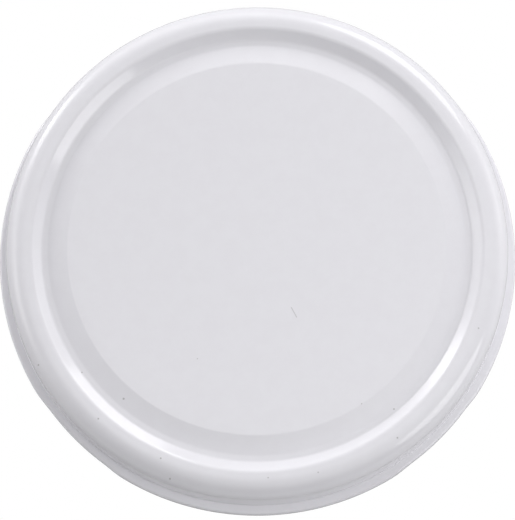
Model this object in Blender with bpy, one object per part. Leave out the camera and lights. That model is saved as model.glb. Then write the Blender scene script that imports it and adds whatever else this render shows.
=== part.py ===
"""White lacquered twist-off jar lid: a drawn tinplate shell with four lugs, and the sealing ring under its bead.

Metres, +Z up. The origin is on the lid's axis, in the plane that its rolled hem rests on. Each radial section of
the shell is the middle line of the sheet, (distance from the axis, height), with half the sheet on either side.
"""

import math

import bmesh
import bpy
from mathutils import Vector

MM = 0.001

# Whole lid
LID_DIAMETER = 70.0 * MM
LID_HEIGHT = 10.0 * MM
SHEET_THICKNESS = 0.20 * MM

# Top panel: a flat disc that slopes down to a flat groove round it
PANEL_SLOPE_WIDTH = 2.1 * MM
PANEL_SLOPE_DROP = 0.45 * MM
PANEL_EDGE_RADIUS = 1.7 * MM
PANEL_FOOT_RADIUS = 2.5 * MM
GROOVE_WIDTH = 1.7 * MM

# Bead: the raised ring over the jar's mouth
BEAD_WIDTH = 3.35 * MM
BEAD_HEIGHT = 0.75 * MM
BEAD_WALL_ANGLE = math.radians(32)
BEAD_FOOT_RADIUS = 1.4 * MM
BEAD_INNER_RADIUS = 1.6 * MM
SHOULDER_RADIUS = 2.6 * MM

# Curl: the hem, flared out from the skirt and rolled in under itself
CURL_OVERHANG = 1.25 * MM
CURL_RADIUS = 1.1 * MM
CURL_FLARE_RADIUS = 0.6 * MM
CURL_TUCK_ANGLE = math.radians(60)
CURL_FOOT_WIDTH = 0.3 * MM

# Lugs: lengths of the curl pressed in towards the jar
LUG_COUNT = 4
LUG_LENGTH = 9.5 * MM
LUG_RUNOUT = 3.5 * MM
LUG_REACH = 1.8 * MM
LUG_DENT = 0.2 * MM
LUG_LIFT = 0.15 * MM
LUG_SQUEEZE = 0.3
FIRST_LUG_ANGLE = math.radians(45)

# Sealing ring
GASKET_DEPTH = 0.95 * MM
GASKET_CLEARANCE = 0.3 * MM

# Fineness of the facets
BEND_STEP = math.radians(25)
LUG_STEPS = 4
RUNOUT_STEPS = 3
BETWEEN_LUGS_STEPS = 10
SMOOTH_ANGLE = math.radians(40)

# Headings in a radial section
OUTWARD = 0.0
DOWNWARD = math.radians(-90)
INWARD = math.radians(-180)
UPWARD = math.radians(-270)


def along(heading):
    """Unit vector in a radial section at a heading."""
    return Vector((math.cos(heading), math.sin(heading)))


def arc(start, heading, turn, radius):
    """Points of an arc that leaves start at a heading and turns left (positive) or right, start included."""
    to_centre = math.copysign(radius, turn)
    centre = start + to_centre * along(heading + math.pi / 2)
    steps = math.ceil(abs(turn) / BEND_STEP)
    headings = [heading + turn * step / steps for step in range(steps + 1)]
    return [centre - to_centre * along(each + math.pi / 2) for each in headings]


def rounded_corner(corner, heading_in, heading_out, radius):
    """Points of the arc that rounds a corner between two straight stretches."""
    turn = heading_out - heading_in
    start = corner - radius * math.tan(abs(turn) / 2) * along(heading_in)
    return arc(start, heading_in, turn, radius)


def skirt_radius():
    """Distance of the skirt's middle line from the axis."""
    return LID_DIAMETER / 2 - CURL_OVERHANG - SHEET_THICKNESS / 2


def top_section():
    """Middle line of the panel and of the bead, down to the top of the skirt, as two lists of points."""
    crest = LID_HEIGHT - SHEET_THICKNESS / 2
    shoulder = Vector((skirt_radius(), crest))
    bead_edge = shoulder - Vector((BEAD_WIDTH, 0))
    bead_foot = bead_edge - Vector((BEAD_HEIGHT / math.tan(BEAD_WALL_ANGLE), BEAD_HEIGHT))
    slope_foot = bead_foot - Vector((GROOVE_WIDTH, 0))
    panel_edge = slope_foot + Vector((-PANEL_SLOPE_WIDTH, PANEL_SLOPE_DROP))
    slope = -math.atan2(PANEL_SLOPE_DROP, PANEL_SLOPE_WIDTH)
    panel = [Vector((0, panel_edge.y))]
    panel += rounded_corner(panel_edge, OUTWARD, slope, PANEL_EDGE_RADIUS)
    panel += rounded_corner(slope_foot, slope, OUTWARD, PANEL_FOOT_RADIUS)
    bead = rounded_corner(bead_foot, OUTWARD, BEAD_WALL_ANGLE, BEAD_FOOT_RADIUS)
    bead += rounded_corner(bead_edge, BEAD_WALL_ANGLE, OUTWARD, BEAD_INNER_RADIUS)
    bead += rounded_corner(shoulder, OUTWARD, DOWNWARD, SHOULDER_RADIUS)
    return panel, bead


def curl_section():
    """Middle line of the curl in two lists: the flare down to the curl's widest point, and the roll after it."""
    bends = CURL_FLARE_RADIUS + CURL_RADIUS
    flare = math.acos(1 - CURL_OVERHANG / bends)
    widest = CURL_RADIUS + SHEET_THICKNESS / 2
    skirt_foot = Vector((skirt_radius(), widest + bends * math.sin(flare)))
    outer = arc(skirt_foot, DOWNWARD, flare, CURL_FLARE_RADIUS)
    outer += arc(outer[-1], DOWNWARD + flare, -flare, CURL_RADIUS)[1:]
    roll = arc(outer[-1], DOWNWARD, INWARD - DOWNWARD, CURL_RADIUS)[1:]
    foot_end = roll[-1] + CURL_FOOT_WIDTH * along(INWARD)
    roll += arc(foot_end, INWARD, UPWARD - INWARD - CURL_TUCK_ANGLE, CURL_RADIUS)
    return outer, roll


def lug_angles(centre_spacing):
    """Half the angle of a lug's full depth, and half the angle that it takes up with its run-outs."""
    lug_radius = LID_DIAMETER / 2 - CURL_RADIUS
    full = LUG_LENGTH / 2 / lug_radius
    whole = full + LUG_RUNOUT / lug_radius
    return min(full, centre_spacing / 2), whole


def spread(start, end, steps):
    """Evenly spaced values from start up to, but without, end."""
    return [start + (end - start) * step / steps for step in range(steps)]


def section_angles():
    """Angles of the radial sections about the axis: close together across a lug, wider apart between lugs."""
    spacing = math.tau / LUG_COUNT
    full, whole = lug_angles(spacing)
    pattern = spread(-whole, -full, RUNOUT_STEPS)
    pattern += spread(-full, full, LUG_STEPS)
    pattern += spread(full, whole, RUNOUT_STEPS)
    pattern += spread(whole, spacing - whole, BETWEEN_LUGS_STEPS)
    return [FIRST_LUG_ANGLE + lug * spacing + angle for lug in range(LUG_COUNT) for angle in pattern]


def lug_press(angle):
    """How far the curl is pressed in at an angle about the axis: 1 along a lug, 0 between lugs."""
    spacing = math.tau / LUG_COUNT
    full, whole = lug_angles(spacing)
    from_lug = abs((angle - FIRST_LUG_ANGLE + spacing / 2) % spacing - spacing / 2)
    fade = min(max((whole - from_lug) / (whole - full), 0), 1)
    return fade * fade * (3 - 2 * fade)


def pressed_curl(outer, roll, press):
    """The curl's middle line where it is pressed in: a slight dent outside, the roll drawn inward and flattened."""
    widest = outer[-1].x
    section = []
    for point in outer:
        dent = LUG_DENT * (point.x - outer[0].x) / CURL_OVERHANG
        section.append(point - Vector((press * dent, 0)))
    drawn = 0
    roll_width = widest - min(point.x for point in roll)
    for point in roll:
        drawn = max(drawn, (widest - point.x) / roll_width)
        inward = press * (LUG_DENT + (LUG_REACH - LUG_DENT) * drawn)
        flattened = point.y * (1 - LUG_SQUEEZE * press * drawn) + LUG_LIFT * press * drawn
        section.append(Vector((point.x - inward, flattened)))
    return section


def offset(line, distance):
    """A line shifted to its left by a distance, with its corners mitred so that each stretch keeps that distance."""
    stretches = [(end - start).normalized() for start, end in zip(line, line[1:])]
    before = [stretches[0], *stretches]
    after = [*stretches, stretches[-1]]
    shifted = []
    for point, arriving, leaving in zip(line, before, after):
        middle = (arriving + leaving).normalized()
        mitre = distance / middle.dot(leaving)
        shifted.append(point + mitre * Vector((-middle.y, middle.x)))
    return shifted


def sheet_section(middle_line):
    """Outline of the sheet round its middle line, without the point on the axis, from top face to underside."""
    top = offset(middle_line, SHEET_THICKNESS / 2)[1:]
    underside = offset(middle_line, -SHEET_THICKNESS / 2)[1:]
    return top + underside[::-1]


def sweep_round(bm, sections, angles, closed):
    """Turns one section for each angle into a skin round the axis, and returns its rows of vertices."""
    rows = []
    for section, angle in zip(sections, angles):
        spoke = Vector((math.cos(angle), math.sin(angle)))
        rows.append([bm.verts.new((*(point.x * spoke), point.y)) for point in section])
    for row, next_row in zip(rows, rows[1:] + rows[:1]):
        here = row + row[:1] if closed else row
        there = next_row + next_row[:1] if closed else next_row
        for near, far, far_there, near_there in zip(here, here[1:], there[1:], there):
            bm.faces.new((near, far, far_there, near_there))
    return rows


def make_object(name, bm, material):
    """A smooth-shaded object made from a bmesh."""
    mesh = bpy.data.meshes.new(name)
    bm.to_mesh(mesh)
    bm.free()
    mesh.shade_smooth()
    mesh.set_sharp_from_angle(angle=SMOOTH_ANGLE)
    mesh.materials.append(material)
    made = bpy.data.objects.new(name, mesh)
    bpy.context.collection.objects.link(made)
    return made


def make_material(name, colour, roughness, metallic=0.0):
    """A Principled BSDF material."""
    material = bpy.data.materials.new(name)
    material.use_nodes = True
    shader = material.node_tree.nodes["Principled BSDF"]
    shader.inputs["Base Color"].default_value = (*colour, 1)
    shader.inputs["Roughness"].default_value = roughness
    shader.inputs["Metallic"].default_value = metallic
    return material


def make_shell():
    """The drawn sheet: panel, bead, skirt and curl turned about the axis, with the lugs pressed into the curl."""
    panel, bead = top_section()
    outer_curl, roll = curl_section()
    angles = section_angles()
    sections = []
    for angle in angles:
        curl = pressed_curl(outer_curl, roll, lug_press(angle))
        sections.append(sheet_section(panel + bead + curl))
    bm = bmesh.new()
    rows = sweep_round(bm, sections, angles, closed=False)
    bm.faces.new([row[0] for row in rows])
    bm.faces.new([row[-1] for row in reversed(rows)])
    return make_object("lid_shell", bm, make_material("white_lacquer", (0.86, 0.86, 0.88), 0.2))


def gasket_section():
    """Outline of the sealing ring: the channel under the bead, less a clearance, filled down to a flat seat."""
    channel = offset(top_section()[1], -(SHEET_THICKNESS / 2 + GASKET_CLEARANCE))
    seat = max(point.y for point in channel) - GASKET_DEPTH
    below = Vector((0, -LID_HEIGHT))
    walls = [channel[0] + below, *channel, channel[-1] + below]
    outline = []
    for start, end in zip(walls, walls[1:]):
        if start.y > seat:
            outline.append(start)
        if (start.y > seat) != (end.y > seat):
            outline.append(start.lerp(end, (seat - start.y) / (end.y - start.y)))
    return outline


def make_gasket():
    """The ring of sealing compound that the jar's rim presses on."""
    angles = section_angles()
    bm = bmesh.new()
    sweep_round(bm, [gasket_section()] * len(angles), angles, closed=True)
    return make_object("sealing_gasket", bm, make_material("sealing_compound", (0.78, 0.78, 0.74), 0.55))


def main():
    """Clears the scene and builds the lid."""
    for existing in list(bpy.data.objects):
        bpy.data.objects.remove(existing, do_unlink=True)
    make_shell()
    make_gasket()


main()
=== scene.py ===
"""Looks of a white lacquered twist-off jar lid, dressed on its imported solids.

The lid is one tinplate sheet, drawn and rolled to shape, with a ring of sealing compound cured under its bead.
Metres, +Z up: the lid's axis is the Z axis and its hem rests on Z = 0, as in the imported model. A radial section is
drawn as points (distance from the axis, height), the sheet's as its middle line.
"""

import logging
import math
from dataclasses import dataclass
from enum import Enum

import bmesh
import bpy
from mathutils import Matrix, Vector


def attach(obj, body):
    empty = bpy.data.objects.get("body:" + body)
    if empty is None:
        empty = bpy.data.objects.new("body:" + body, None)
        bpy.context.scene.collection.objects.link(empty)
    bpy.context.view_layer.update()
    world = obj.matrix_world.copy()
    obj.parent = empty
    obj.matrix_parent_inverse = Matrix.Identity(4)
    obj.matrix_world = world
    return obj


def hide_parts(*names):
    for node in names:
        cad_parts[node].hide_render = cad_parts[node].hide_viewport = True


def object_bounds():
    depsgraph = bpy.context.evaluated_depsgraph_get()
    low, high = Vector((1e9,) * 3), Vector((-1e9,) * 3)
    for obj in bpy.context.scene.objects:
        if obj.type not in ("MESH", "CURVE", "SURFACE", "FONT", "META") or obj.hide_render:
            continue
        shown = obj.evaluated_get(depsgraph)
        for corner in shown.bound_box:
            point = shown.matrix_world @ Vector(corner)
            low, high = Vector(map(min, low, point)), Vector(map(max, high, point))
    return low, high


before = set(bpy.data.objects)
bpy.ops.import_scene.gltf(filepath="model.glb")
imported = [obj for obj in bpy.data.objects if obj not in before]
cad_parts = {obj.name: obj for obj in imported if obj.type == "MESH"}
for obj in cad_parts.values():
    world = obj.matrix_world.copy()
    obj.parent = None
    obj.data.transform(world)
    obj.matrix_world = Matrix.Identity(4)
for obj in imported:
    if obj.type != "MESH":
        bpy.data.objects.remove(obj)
CAD_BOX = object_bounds()

MM = 0.001
LOG = logging.getLogger("jar_lid")

# Points nearer to each other than this are merged.
MERGE_GAP = MM / 1000

# The colour sockets of a Mix node, by number, because the node repeats their names.
MIX_LOWER, MIX_UPPER, MIX_RESULT = 6, 7, 2

Colour = tuple[float, float, float]
Edges = tuple[float, float]


class Heading(Enum):
    """Directions in a radial section, as angles from the outward direction."""

    OUTWARD = 0.0
    DOWNWARD = -math.pi / 2
    INWARD = -math.pi
    UPWARD = -math.pi * 3 / 2


class Slot(Enum):
    """The record's material slots."""

    LACQUER = "white_lacquer"
    COMPOUND = "sealing_compound"


class Node(Enum):
    """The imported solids, by name."""

    SHELL = "lid_shell"
    RING = "sealing_gasket"


class Signal:
    """A number that varies over a surface: a wrapped socket whose operators add Math nodes."""

    def __init__(self, tree: "ShaderTree", socket: bpy.types.NodeSocket) -> None:
        """Wrap a socket of a tree."""
        self.tree = tree
        self.socket = socket

    def _maths(self, operation: str, first: "Signal | float", second: "Signal | float" = 0.0) -> "Signal":
        """The result of one Math node."""
        node = self.tree.add("ShaderNodeMath", {"operation": operation}, {0: first, 1: second})
        return Signal(self.tree, node.outputs[0])

    def __add__(self, other: "Signal | float") -> "Signal":
        """Sum."""
        return self._maths("ADD", self, other)

    __radd__ = __add__

    def __sub__(self, other: "Signal | float") -> "Signal":
        """Difference."""
        return self._maths("SUBTRACT", self, other)

    def __rsub__(self, other: float) -> "Signal":
        """Difference from a number."""
        return self._maths("SUBTRACT", other, self)

    def __mul__(self, other: "Signal | float") -> "Signal":
        """Product."""
        return self._maths("MULTIPLY", self, other)

    __rmul__ = __mul__

    def larger(self, other: "Signal | float") -> "Signal":
        """The larger of two values."""
        return self._maths("MAXIMUM", self, other)

    def smaller(self, other: "Signal | float") -> "Signal":
        """The smaller of two values."""
        return self._maths("MINIMUM", self, other)

    def exponential(self) -> "Signal":
        """The natural exponential."""
        return self._maths("EXPONENT", self)

    def fade(self, start: float, end: float) -> "Signal":
        """Fade smoothly between two values.

        Args:
            start: the value at which the fade is 0.
            end: the value at which it is 1, which may be the smaller one.

        Returns:
            The fade, from 0 to 1.
        """
        inputs = {"Value": self, "From Min": start, "From Max": end, "To Min": 0.0, "To Max": 1.0}
        node = self.tree.add("ShaderNodeMapRange", {"interpolation_type": "SMOOTHSTEP"}, inputs)
        return Signal(self.tree, node.outputs["Result"])


class ShaderTree:
    """A material's or the world's node tree, with one method that adds any node."""

    def __init__(self, tree: bpy.types.NodeTree) -> None:
        """Empty a node tree and hold it."""
        self.tree = tree
        tree.nodes.clear()

    def add(self, kind: str, settings: dict[str, object], inputs: dict[str | int, object]) -> bpy.types.Node:
        """Add a node.

        Args:
            kind: the node's type name.
            settings: its own properties, set before the sockets.
            inputs: a value, a socket or a signal for each input, by the input's name or number.

        Returns:
            The new node.
        """
        node = self.tree.nodes.new(kind)
        for name, value in settings.items():
            setattr(node, name, value)
        for name, value in inputs.items():
            source = value.socket if isinstance(value, Signal) else value
            if isinstance(source, bpy.types.NodeSocket):
                self.tree.links.new(source, node.inputs[name])
            else:
                node.inputs[name].default_value = source
        return node

    def surface(self, kind: str, inputs: dict[str | int, object], output: str = "ShaderNodeOutputMaterial") -> None:
        """Add a shader and send it to the output.

        Args:
            kind: the shader's type name.
            inputs: its sockets, as for add.
            output: the output node's type name.
        """
        shader = self.add(kind, {}, inputs)
        self.add(output, {}, {"Surface": shader.outputs[0]})

    def place(self) -> bpy.types.NodeSocket:
        """The point of the surface, in the lid's own metres."""
        return self.add("ShaderNodeTexCoord", {}, {}).outputs["Object"]

    def noise(self, size: float, detail: float, roughness: float = 0.5) -> Signal:
        """Cloudy noise with patches of about a size.

        Args:
            size: width of a patch, in metres.
            detail: octaves of finer noise.
            roughness: strength of the finer octaves.

        Returns:
            The noise, from 0 to 1 round 0.5.
        """
        inputs = {"Vector": self.place(), "Scale": 1 / size, "Detail": detail, "Roughness": roughness}
        return Signal(self, self.add("ShaderNodeTexNoise", {}, inputs).outputs["Fac"])

    def tint(self, mask: Signal, base: object, over: Colour) -> bpy.types.NodeSocket:
        """Lay a colour over another.

        Args:
            mask: how far the upper colour covers, from 0 to 1.
            base: the lower colour, or its socket.
            over: the upper colour.

        Returns:
            The mixed colour's socket.
        """
        lower = base if isinstance(base, bpy.types.NodeSocket) else (*base, 1)
        inputs = {"Factor": mask, MIX_LOWER: lower, MIX_UPPER: (*over, 1)}
        return self.add("ShaderNodeMix", {"data_type": "RGBA"}, inputs).outputs[MIX_RESULT]


def new_material(name: str) -> tuple[bpy.types.Material, ShaderTree]:
    """Make an empty material.

    Args:
        name: its name.

    Returns:
        The material and its tree.
    """
    made = bpy.data.materials.new(name)
    made.use_nodes = True
    return made, ShaderTree(made.node_tree)


@dataclass(frozen=True)
class Dust:
    """A speck or a hair on the lid, seen from above: its two ends, its width and how far it hides the lacquer."""

    start: tuple[float, float]
    end: tuple[float, float]
    width: float
    cover: float = 0.5


def speck(x: float, y: float, width: float = 0.22, cover: float = 0.5) -> Dust:
    """A speck of dust.

    Args:
        x: its place, in millimetres.
        y: the same across.
        width: how wide it is, in millimetres.
        cover: how far it hides the lacquer.

    Returns:
        The speck.
    """
    return Dust((x * MM, y * MM), (x * MM, y * MM), width * MM, cover)


@dataclass(frozen=True)
class WhiteLacquer:
    """Gloss white stoving lacquer over tinplate, faintly cloudy, with the dust that has settled on it."""

    colour: Colour = (0.80, 0.793, 0.833)
    cloud_colour: Colour = (0.782, 0.771, 0.812)
    dust_colour: Colour = (0.16, 0.15, 0.14)
    roughness: float = 0.12
    roughness_change: float = 0.04
    dust_roughness: float = 0.8
    refraction: float = 1.5
    cloud_size: float = 2.4 * MM
    cloud_octaves: float = 5
    cloud_fineness: float = 0.7
    cloud_edges: Edges = (0.35, 0.65)
    cloud_cover: float = 0.6
    peel_size: float = 0.9 * MM
    peel_height: float = 0.0012 * MM
    dust_facing: Edges = (0.1, 0.2)
    dust_edges: Edges = (0.6, 0.3)
    dust: tuple[Dust, ...] = (
        Dust((4.6 * MM, -8.2 * MM), (5.3 * MM, -9.5 * MM), 0.14 * MM, 0.35),
        speck(-7.9, -15.1, 0.2, 0.3),
        speck(-17.7, -20.4, 0.3),
        speck(-23.3, -16.8, 0.22),
        speck(-21.0, -23.2, 0.25),
        speck(-29.1, -15.8, 0.25),
        speck(-12.7, -28.5, 0.25),
        speck(-11.5, -31.1, 0.25),
        speck(1.5, -31.1, 0.22, 0.4),
        speck(8.1, -30.4, 0.22, 0.4),
        speck(18.6, -25.8, 0.25),
        speck(18.2, -21.8, 0.25),
        speck(13.9, -21.2, 0.2, 0.4),
        speck(29.5, -11.1, 0.25, 0.4),
    )

    def material(self) -> bpy.types.Material:
        """Make the lacquer's material.

        Returns:
            The material.
        """
        made, tree = new_material(Slot.LACQUER.value + "_gloss")
        clouds = tree.noise(self.cloud_size, self.cloud_octaves, self.cloud_fineness)
        cloud = clouds.fade(*self.cloud_edges)
        colour = tree.tint(cloud * self.cloud_cover, self.colour, self.cloud_colour)
        settled = self._settled(tree)
        colour = tree.tint(settled, colour, self.dust_colour)
        peel = tree.noise(self.peel_size, 2)
        bump = tree.add("ShaderNodeBump", {}, {"Height": peel, "Distance": self.peel_height, "Strength": 1.0})
        clean = self.roughness + (cloud - 0.5) * self.roughness_change
        roughness = clean.larger(settled * self.dust_roughness)
        inputs = {"Base Color": colour, "Roughness": roughness, "Normal": bump.outputs[0], "IOR": self.refraction}
        tree.surface("ShaderNodeBsdfPrincipled", inputs)
        return made

    def _settled(self, tree: ShaderTree) -> Signal:
        """How far dust hides the lacquer, on the faces that look up.

        Args:
            tree: the lacquer's tree.

        Returns:
            The cover, 0 where there is no dust.
        """
        faces = tree.add("ShaderNodeTexCoord", {}, {}).outputs["Normal"]
        rise = tree.add("ShaderNodeSeparateXYZ", {}, {0: faces}).outputs["Z"]
        upward = Signal(tree, rise).fade(*self.dust_facing)
        inputs = {0: tree.place(), 1: (1, 1, 0)}
        above = tree.add("ShaderNodeVectorMath", {"operation": "MULTIPLY"}, inputs).outputs[0]
        cover = upward * 0.0
        for each in self.dust:
            cover = cover.larger(self._outline(tree, above, each) * each.cover)
        return cover * upward

    def _outline(self, tree: ShaderTree, above: bpy.types.NodeSocket, dust: Dust) -> Signal:
        """The outline of a speck or a hair: 1 inside and 0 outside.

        Args:
            tree: the lacquer's tree.
            above: the point of the surface, laid flat.
            dust: the speck or the hair.

        Returns:
            The outline.
        """
        start = Vector((*dust.start, 0))
        along = Vector((*dust.end, 0)) - start
        nearest = start
        if along.length:
            gone = tree.add("ShaderNodeVectorMath", {"operation": "SUBTRACT"}, {0: above, 1: start}).outputs[0]
            inputs = {0: gone, 1: along / along.length_squared}
            share = tree.add("ShaderNodeVectorMath", {"operation": "DOT_PRODUCT"}, inputs).outputs["Value"]
            within = Signal(tree, share).larger(0.0).smaller(1.0)
            step = tree.add("ShaderNodeVectorMath", {"operation": "SCALE"}, {0: along, "Scale": within}).outputs[0]
            nearest = tree.add("ShaderNodeVectorMath", {"operation": "ADD"}, {0: step, 1: start}).outputs[0]
        aside = tree.add("ShaderNodeVectorMath", {"operation": "DISTANCE"}, {0: above, 1: nearest}).outputs["Value"]
        outer, inner = self.dust_edges
        return Signal(tree, aside).fade(dust.width * outer, dust.width * inner)


@dataclass(frozen=True)
class CutSteel:
    """The bare edge of the sheet, where the blank was cut: tin-coated steel with fine marks from the shears."""

    colour: Colour = (0.56, 0.55, 0.53)
    mark_colour: Colour = (0.3, 0.29, 0.28)
    mark_size: float = 0.08 * MM
    mark_edges: Edges = (0.4, 0.7)
    mark_cover: float = 0.4
    roughness: float = 0.35
    roughness_change: float = 0.3

    def material(self) -> bpy.types.Material:
        """Make the cut edge's material.

        Returns:
            The material.
        """
        made, tree = new_material("cut_steel_edge")
        marks = tree.noise(self.mark_size, 2)
        mask = marks.fade(*self.mark_edges) * self.mark_cover
        inputs = {
            "Base Color": tree.tint(mask, self.colour, self.mark_colour),
            "Metallic": 1.0,
            "Roughness": self.roughness + (marks - 0.5) * self.roughness_change,
        }
        tree.surface("ShaderNodeBsdfPrincipled", inputs)
        return made


@dataclass(frozen=True)
class CuredCompound:
    """Off-white sealing compound, cured from a liquid that was laid round the channel."""

    colour: Colour = (0.74, 0.74, 0.70)
    deep_colour: Colour = (0.70, 0.697, 0.65)
    roughness: float = 0.5
    roughness_change: float = 0.2
    refraction: float = 1.45
    flow_size: float = 1.6 * MM
    flow_edges: Edges = (0.35, 0.7)
    grain_size: float = 0.25 * MM
    flow_height: float = 0.03 * MM
    grain_height: float = 0.006 * MM

    def material(self) -> bpy.types.Material:
        """Make the compound's material.

        Returns:
            The material.
        """
        made, tree = new_material(Slot.COMPOUND.value + "_satin")
        flow = tree.noise(self.flow_size, 3)
        grain = tree.noise(self.grain_size, 2)
        colour = tree.tint(flow.fade(*self.flow_edges), self.colour, self.deep_colour)
        height = flow * self.flow_height + grain * self.grain_height
        bump = tree.add("ShaderNodeBump", {}, {"Height": height, "Distance": 1.0, "Strength": 1.0})
        roughness = self.roughness + (grain - 0.5) * self.roughness_change
        inputs = {"Base Color": colour, "Roughness": roughness, "Normal": bump.outputs[0], "IOR": self.refraction}
        tree.surface("ShaderNodeBsdfPrincipled", inputs)
        return made


def deselect_all() -> None:
    """Leave edit mode, and leave nothing selected."""
    if bpy.context.mode != "OBJECT":
        bpy.ops.object.mode_set(mode="OBJECT")
    bpy.ops.object.select_all(action="DESELECT")


def draw_line(name: str, points: list[Vector], closed: bool) -> bpy.types.Object:
    """Draw a line of edges in the XZ plane, by extruding one vertex from point to point.

    Args:
        name: the new object's name.
        points: the line's points, as (distance from the axis, height).
        closed: whether an edge joins the last point to the first.

    Returns:
        The new object, left in edit mode with all of it selected.
    """
    deselect_all()
    bpy.ops.mesh.primitive_plane_add(size=MM, enter_editmode=True, location=(0, 0, 0))
    piece = bpy.context.active_object
    piece.name = piece.data.name = name
    bpy.ops.mesh.merge(type="CENTER")
    bpy.ops.transform.translate(value=(points[0].x, 0, points[0].y))
    stops = points + points[:1] if closed else points
    for start, end in zip(stops, stops[1:]):
        step = end - start
        bpy.ops.mesh.extrude_region_move(TRANSFORM_OT_translate={"value": (step.x, 0, step.y)})
    bpy.ops.mesh.select_all(action="SELECT")
    bpy.ops.mesh.remove_doubles(threshold=MERGE_GAP)
    return piece


def spin_round(angle: float, steps: int, copies: bool = False) -> None:
    """Spin what is selected about the lid's axis, from the XZ plane towards +Y.

    Args:
        angle: how far it goes round.
        steps: its rows, or its copies.
        copies: whether it leaves separate copies instead of a skin.
    """
    bpy.ops.mesh.spin(steps=steps, angle=angle, dupli=copies, center=(0, 0, 0), axis=(0, 0, 1))


def close_seams(piece: bpy.types.Object) -> None:
    """Merge what meets in a piece in edit mode, point its faces outwards and leave edit mode.

    Args:
        piece: the object.
    """
    bpy.ops.mesh.select_all(action="SELECT")
    bpy.ops.mesh.remove_doubles(threshold=MERGE_GAP)
    bpy.ops.mesh.normals_make_consistent(inside=False)
    bpy.ops.object.mode_set(mode="OBJECT")
    LOG.info("%s: %d faces before finishing", piece.name, len(piece.data.polygons))


class SectionLine:
    """A line drawn with straights and round bends, which keeps its heading."""

    def __init__(self, start: Vector, bend_step: float) -> None:
        """Start a line that heads outward.

        Args:
            start: its first point.
            bend_step: the largest turn between two points of a bend.
        """
        self.points = [start]
        self.heading = Heading.OUTWARD.value
        self.bend_step = bend_step

    @staticmethod
    def _along(heading: float) -> Vector:
        """Unit vector at a heading."""
        return Vector((math.cos(heading), math.sin(heading)))

    def straight(self, length: float) -> None:
        """Go straight on for a length."""
        self.points.append(self.points[-1] + self._along(self.heading) * length)

    def bend(self, turn: float, radius: float) -> None:
        """Turn round an arc.

        Args:
            turn: the angle turned, positive to the left.
            radius: the arc's radius.
        """
        to_centre = math.copysign(radius, turn)
        centre = self.points[-1] + to_centre * self._along(self.heading + math.pi / 2)
        steps = max(2, math.ceil(abs(turn) / self.bend_step))
        for step in range(1, steps + 1):
            heading = self.heading + turn * step / steps
            self.points.append(centre - to_centre * self._along(heading + math.pi / 2))
        self.heading += turn

    def round_corner(self, corner: Vector, heading: float, radius: float) -> None:
        """Go straight towards a corner and round it to a new heading.

        Args:
            corner: where the two straights would meet.
            heading: the heading after the corner.
            radius: the radius that rounds it.
        """
        turn = heading - self.heading
        self.straight((corner - self.points[-1]).length - radius * math.tan(abs(turn) / 2))
        self.bend(turn, radius)


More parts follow.
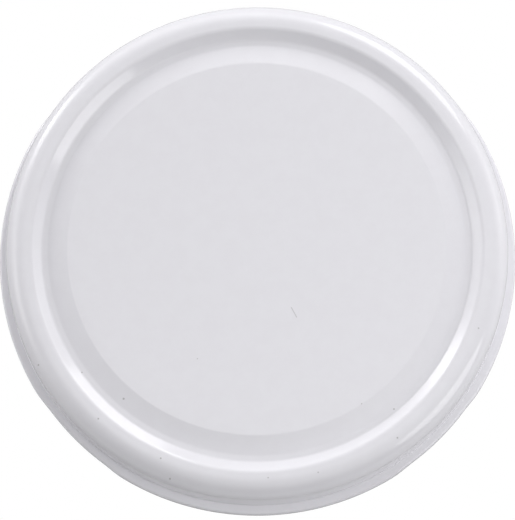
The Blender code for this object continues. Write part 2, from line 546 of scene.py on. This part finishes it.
@dataclass(frozen=True)
class SheetSection:
    """The drawn sheet's radial section. The radii are the middle line's.

    The slope, the groove and the curl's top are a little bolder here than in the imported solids.
    """

    diameter: float
    height: float
    thickness: float = 0.20 * MM
    panel_rings: int = 8
    slope_width: float = 2.6 * MM
    slope_drop: float = 0.8 * MM
    panel_edge_radius: float = 1.0 * MM
    panel_foot_radius: float = 1.2 * MM
    groove_width: float = 0.85 * MM
    bead_width: float = 3.35 * MM
    bead_height: float = 1.1 * MM
    bead_wall_angle: float = math.radians(37)
    bead_foot_radius: float = 0.8 * MM
    bead_inner_radius: float = 1.0 * MM
    shoulder_radius: float = 2.6 * MM
    curl_overhang: float = 1.25 * MM
    curl_flare_radius: float = 0.3 * MM
    curl_top_slope: float = math.radians(11)
    curl_corner_radius: float = 0.3 * MM
    curl_side: float = 0.6 * MM
    curl_radius: float = 1.1 * MM
    curl_tuck_angle: float = math.radians(60)
    curl_foot_width: float = 0.3 * MM
    bend_step: float = math.radians(6)

    @property
    def skirt_radius(self) -> float:
        """Distance of the skirt's middle line from the axis."""
        return self.widest - self.curl_overhang

    @property
    def widest(self) -> float:
        """Distance of the curl's widest point from the axis, on the middle line."""
        return self.diameter / 2 - self.thickness / 2

    @property
    def roll_centre(self) -> float:
        """Height of the middle of the curl's roll."""
        return self.curl_radius + self.thickness / 2

    @property
    def roll_width(self) -> float:
        """Width of the curl's roll, from its widest point in to its inner side."""
        return 2 * self.curl_radius + self.curl_foot_width

    def panel_and_bead(self) -> SectionLine:
        """Draw the panel, the slope, the groove and the bead.

        Returns:
            The line, from the axis to the top of the skirt.
        """
        crest = self.height - self.thickness / 2
        shoulder = Vector((self.skirt_radius, crest))
        bead_edge = shoulder - Vector((self.bead_width, 0))
        bead_foot = bead_edge - Vector((self.bead_height / math.tan(self.bead_wall_angle), self.bead_height))
        slope_foot = bead_foot - Vector((self.groove_width, 0))
        panel_edge = slope_foot + Vector((-self.slope_width, self.slope_drop))
        slope = -math.atan2(self.slope_drop, self.slope_width)
        flat = panel_edge.x - self.panel_edge_radius * math.tan(-slope / 2)
        line = SectionLine(Vector((0, panel_edge.y)), self.bend_step)
        for ring in range(1, self.panel_rings + 1):
            line.points.append(Vector((flat * ring / self.panel_rings, panel_edge.y)))
        line.bend(slope, self.panel_edge_radius)
        line.round_corner(slope_foot, Heading.OUTWARD.value, self.panel_foot_radius)
        line.round_corner(bead_foot, self.bead_wall_angle, self.bead_foot_radius)
        line.round_corner(bead_edge, Heading.OUTWARD.value, self.bead_inner_radius)
        line.round_corner(shoulder, Heading.DOWNWARD.value, self.shoulder_radius)
        return line

    def add_curl(self, line: SectionLine) -> None:
        """Draw the flare, the curl's sloping top and its roll, with the raw edge tucked in.

        Args:
            line: a line that comes down the skirt.
        """
        flare = math.pi / 2 - self.curl_top_slope
        bends = self.curl_flare_radius + self.curl_corner_radius
        top = (self.curl_overhang - bends * (1 - math.cos(flare))) / math.cos(self.curl_top_slope)
        top_drop = bends * math.sin(flare) + top * math.sin(self.curl_top_slope)
        line.straight(line.points[-1].y - self.roll_centre - self.curl_side - top_drop)
        line.bend(flare, self.curl_flare_radius)
        line.straight(top)
        line.bend(-flare, self.curl_corner_radius)
        line.straight(self.curl_side)
        line.bend(Heading.INWARD.value - Heading.DOWNWARD.value, self.curl_radius)
        line.straight(self.curl_foot_width)
        line.bend(Heading.UPWARD.value - Heading.INWARD.value - self.curl_tuck_angle, self.curl_radius)


@dataclass(frozen=True)
class LugPress:
    """The press that draws lengths of the curl in towards the jar, to make the lugs."""

    count: int = 4
    first_angle: float = math.radians(45)
    length: float = 9.5 * MM
    runout: float = 3.5 * MM
    reach: float = 1.8 * MM
    dent: float = 0.2 * MM
    lift: float = 0.15 * MM
    squeeze: float = 0.3

    def amount(self, angle: float, radius: float) -> float:
        """How far the press goes in at an angle about the axis.

        Args:
            angle: the angle.
            radius: the distance from the axis at which the lug's length is measured.

        Returns:
            1 along a lug, 0 between lugs, and a smooth run-out between the two.
        """
        spacing = math.tau / self.count
        from_lug = abs((angle - self.first_angle + spacing / 2) % spacing - spacing / 2)
        full = self.length / 2 / radius
        whole = full + self.runout / radius
        fade = min(max((whole - from_lug) / (whole - full), 0), 1)
        return fade * fade * (3 - 2 * fade)

    def move(self, point: Vector, section: SheetSection) -> None:
        """Move a point of the curl as the press does: a slight dent outside, the roll drawn in and flattened.

        Args:
            point: the point, which is changed.
            section: the sheet's section before the press.
        """
        radius = point.xy.length
        press = self.amount(math.atan2(point.y, point.x), section.diameter / 2 - section.curl_radius)
        if point.z > section.roll_centre and radius > section.skirt_radius - section.thickness:
            inward = press * self.dent * max(radius - section.skirt_radius, 0) / section.curl_overhang
            drawn = 0.0
        else:
            tucked = point.z > section.roll_centre
            drawn = press if tucked else press * min((section.widest - radius) / section.roll_width, 1)
            inward = press * self.dent + (self.reach - self.dent) * drawn
        point.xy *= (radius - inward) / radius
        point.z = point.z * (1 - self.squeeze * drawn) + self.lift * drawn


@dataclass
class LidShell:
    """The drawn sheet: panel, slope, groove, bead, skirt and curl, with the lugs pressed in."""

    section: SheetSection
    lugs: LugPress
    finish: WhiteLacquer
    cut_edge: CutSteel
    rows_per_quarter: int = 75
    smooth_angle: float = math.radians(40)

    def build(self) -> bpy.types.Object:
        """Model and dress the shell.

        Returns:
            The finished shell.
        """
        line = self.section.panel_and_bead()
        self.section.add_curl(line)
        shell = draw_line("lacquered_shell", line.points, closed=False)
        spin_round(math.tau / self.lugs.count, self.rows_per_quarter)
        self._press_lug(shell)
        bpy.ops.mesh.select_all(action="SELECT")
        others = self.lugs.count - 1
        spin_round(others * math.tau / self.lugs.count, others, copies=True)
        close_seams(shell)
        shell.data.materials.append(self.finish.material())
        shell.data.materials.append(self.cut_edge.material())
        self._thicken(shell)
        bpy.ops.object.shade_smooth_by_angle(angle=self.smooth_angle)
        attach(shell, "root")
        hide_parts(Node.SHELL.value)
        return shell

    def _press_lug(self, shell: bpy.types.Object) -> None:
        """Press the lug into the curl of the quarter that is in edit mode.

        Args:
            shell: the shell.
        """
        mesh = bmesh.from_edit_mesh(shell.data)
        inner_side = self.section.widest - self.section.roll_width - self.section.thickness
        for vertex in mesh.verts:
            if vertex.co.xy.length > inner_side and vertex.co.z < self.section.height / 2:
                self.lugs.move(vertex.co, self.section)
        bmesh.update_edit_mesh(shell.data)

    def _thicken(self, shell: bpy.types.Object) -> None:
        """Give the sheet its thickness, half to each side of the middle line, and its edge the bare steel.

        Args:
            shell: the shell.
        """
        sheet = shell.modifiers.new("sheet", "SOLIDIFY")
        sheet.material_offset_rim = 1
        sheet.thickness = self.section.thickness
        sheet.offset = 0
        sheet.use_even_offset = True
        bpy.ops.object.modifier_apply(modifier=sheet.name)


@dataclass
class SealingRing:
    """The ring of compound under the bead, which the jar's rim presses on."""

    section: SheetSection
    finish: CuredCompound
    inner_radius: float = 28.45 * MM
    seat_height: float = 8.55 * MM
    clearance: float = 0.02 * MM
    dish: float = 0.12 * MM
    dish_parts: int = 14
    rows: int = 240
    smooth_angle: float = math.radians(50)

    def _channel(self) -> list[Vector]:
        """Follow the sheet's underside over the ring, less the clearance.

        Returns:
            The points, from the ring's inner edge out to the skirt.
        """
        line = self.section.panel_and_bead().points
        gap = self.section.thickness / 2 + self.clearance
        channel = []
        for before, point, after in zip(line, line[1:], line[2:]):
            if point.x > self.inner_radius:
                across = (after - before).normalized()
                channel.append(point + gap * Vector((across.y, -across.x)))
        return channel

    def _outline(self) -> list[Vector]:
        """Draw the ring's section, along the channel and back over a slightly dished seat.

        Returns:
            The outline's points.
        """
        outline = [point for point in self._channel() if point.y > self.seat_height]
        inner, outer = outline[0].x, outline[-1].x
        for part in range(self.dish_parts + 1):
            share = part / self.dish_parts
            sag = self.dish * math.sin(math.pi * share) ** 2
            outline.append(Vector((outer + (inner - outer) * share, self.seat_height + sag)))
        return outline

    def build(self) -> bpy.types.Object:
        """Model and dress the ring.

        Returns:
            The finished ring.
        """
        ring = draw_line("compound_ring", self._outline(), closed=True)
        spin_round(math.tau, self.rows)
        close_seams(ring)
        bpy.ops.object.shade_smooth_by_angle(angle=self.smooth_angle)
        ring.data.materials.append(self.finish.material())
        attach(ring, "root")
        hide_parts(Node.RING.value)
        return ring


def towards(azimuth: float, elevation: float) -> Vector:
    """Find the direction of a place in the room.

    Args:
        azimuth: degrees from +X towards +Y.
        elevation: degrees above the ground.

    Returns:
        The unit vector from the lid to the place.
    """
    turn, rise = math.radians(azimuth), math.radians(elevation)
    return Vector((math.cos(rise) * math.cos(turn), math.cos(rise) * math.sin(turn), math.sin(rise)))


@dataclass(frozen=True)
class Glow:
    """A soft patch of light in the room: what it stands for, where it is in degrees, how narrow and how bright."""

    name: str
    azimuth: float
    elevation: float
    sharpness: float
    strength: float


@dataclass(frozen=True)
class Lamp:
    """A round softbox that faces the lid: what it is, where it is in degrees, how far, how wide and its power."""

    name: str
    azimuth: float
    elevation: float
    distance: float
    width: float
    power: float

    def build(self) -> None:
        """Hang the lamp, facing the lid."""
        aside = towards(self.azimuth, self.elevation)
        facing = aside.to_track_quat("Z", "Y").to_matrix().to_4x4()
        deselect_all()
        bpy.ops.object.light_add(type="AREA", location=(0, 0, 0))
        lamp = bpy.context.active_object
        lamp.name = lamp.data.name = self.name
        lamp.data.shape = "DISK"
        lamp.data.size = self.width
        lamp.data.energy = self.power
        lamp.matrix_world = Matrix.Translation(aside * self.distance) @ facing
        LOG.info("light: %s", self.name)


@dataclass
class Studio:
    """The white ground, the light round the lid and the camera over it.

    The photograph doesn't show its lights. These were set by comparing renders with it, and their names are guesses.
    """

    lens: float = 257.0
    distance: float = 0.505
    tilt: float = math.radians(11.4)
    azimuth: float = math.radians(3.0)
    look_height: float = 1.1 * MM
    clip_start: float = 10 * MM
    ground_size: float = 3.0
    ground_depth: float = 0.02 * MM
    ground_light: float = 1.0
    table_depth: float = 0.03 * MM
    table_colour: Colour = (0.55, 0.55, 0.55)
    table_roughness: float = 0.9
    glows: tuple[Glow, ...] = (
        Glow("low window at the far left", 150, 5, 14, 1.7),
        Glow("low window at the far side", 120, 5, 14, 1.65),
        Glow("low light at the right", 25, 8, 14, 1.8),
        Glow("softbox at the far side", 90, 27, 16, 1.75),
        Glow("window at the left", 180, 22, 22, 2.6),
        Glow("high light at the near right", -45, 50, 16, 1.25),
        Glow("high light at the near side", -90, 50, 16, 1.1),
        Glow("high light at the right", 0, 70, 20, 0.34),
        Glow("light overhead", 0, 90, 20, 0.85),
        Glow("strip light, lower half", 138, 8, 120, 6.0),
        Glow("strip light, upper half", 138, 22, 120, 6.0),
    )
    lamps: tuple[Lamp, ...] = (
        Lamp("softbox_far_right", 60, 27, 0.43, 0.26, 0.62),
        Lamp("softbox_near_right", -30, 27, 0.43, 0.26, 0.54),
    )

    def build(self) -> None:
        """Set the lid on its ground, light it and place the camera."""
        self._ground()
        self._room()
        for lamp in self.lamps:
            lamp.build()
        self._camera()
        bpy.context.scene.view_settings.view_transform = "Standard"

    def _sheet(self, name: str, z: float) -> bpy.types.Object:
        """Lay a square sheet under the lid.

        Args:
            name: the sheet's name.
            z: its height.

        Returns:
            The sheet.
        """
        deselect_all()
        bpy.ops.mesh.primitive_plane_add(size=self.ground_size, location=(0, 0, 0))
        sheet = bpy.context.active_object
        sheet.name = sheet.data.name = name
        bpy.ops.object.mode_set(mode="EDIT")
        bpy.ops.mesh.select_all(action="SELECT")
        bpy.ops.transform.translate(value=(0, 0, z))
        bpy.ops.object.mode_set(mode="OBJECT")
        return sheet

    def _ground(self) -> None:
        """A sheet that the camera sees as white, and a duller one that throws light up at the lid."""
        seen = self._sheet("white_ground", -self.ground_depth)
        glow, tree = new_material("white_ground")
        tree.surface("ShaderNodeEmission", {"Color": (1, 1, 1, 1), "Strength": self.ground_light})
        seen.data.materials.append(glow)
        seen.visible_diffuse = seen.visible_glossy = seen.visible_shadow = False
        table = self._sheet("pale_table", -self.table_depth)
        paper, tree = new_material("pale_table")
        inputs = {"Base Color": (*self.table_colour, 1), "Roughness": self.table_roughness}
        tree.surface("ShaderNodeBsdfPrincipled", inputs)
        table.data.materials.append(paper)
        table.visible_camera = False

    def _room(self) -> None:
        """Light the lid from the room's soft patches of light."""
        world = bpy.data.worlds.new("soft_room")
        world.use_nodes = True
        bpy.context.scene.world = world
        tree = ShaderTree(world.node_tree)
        ray = tree.add("ShaderNodeTexCoord", {}, {}).outputs["Generated"]
        light: Signal | float = 0.0
        for glow in self.glows:
            inputs = {0: ray, 1: towards(glow.azimuth, glow.elevation)}
            turn = tree.add("ShaderNodeVectorMath", {"operation": "DOT_PRODUCT"}, inputs)
            near = ((Signal(tree, turn.outputs["Value"]) - 1.0) * glow.sharpness).exponential()
            light = light + near * glow.strength
            LOG.info("light: %s", glow.name)
        sky = {"Color": (1, 1, 1, 1), "Strength": light}
        tree.surface("ShaderNodeBackground", sky, "ShaderNodeOutputWorld")

    def _camera(self) -> None:
        """A long lens over the lid, leaning a little towards its near side, with +Y up in the picture."""
        view = bpy.data.cameras.new("camera")
        view.lens = self.lens
        view.clip_start = self.clip_start
        camera = bpy.data.objects.new("camera", view)
        bpy.context.scene.collection.objects.link(camera)
        lean = Vector((math.sin(self.azimuth), -math.cos(self.azimuth), 0))
        back = lean * math.sin(self.tilt) + Vector((0, 0, math.cos(self.tilt)))
        right = Vector((0, 1, 0)).cross(back).normalized()
        turned = Matrix((right, back.cross(right), back)).transposed()
        look = Vector((0, 0, self.look_height))
        camera.matrix_world = Matrix.Translation(look + back * self.distance) @ turned.to_4x4()
        bpy.context.scene.camera = camera


def main() -> None:
    """Build the lid's pieces and its studio, and note the sizes."""
    logging.basicConfig(level=logging.INFO, format="%(name)s: %(message)s")
    low, high = (Vector(corner) for corner in CAD_BOX)
    section = SheetSection(diameter=high.x - low.x, height=high.z - low.z)
    shell = LidShell(section, LugPress(), WhiteLacquer(), CutSteel()).build()
    LOG.info("%s: %d faces", shell.name, len(shell.data.polygons))
    ring = SealingRing(section, CuredCompound()).build()
    LOG.info("%s: %d faces", ring.name, len(ring.data.polygons))
    Studio().build()


if __name__ == "__main__":
    main()
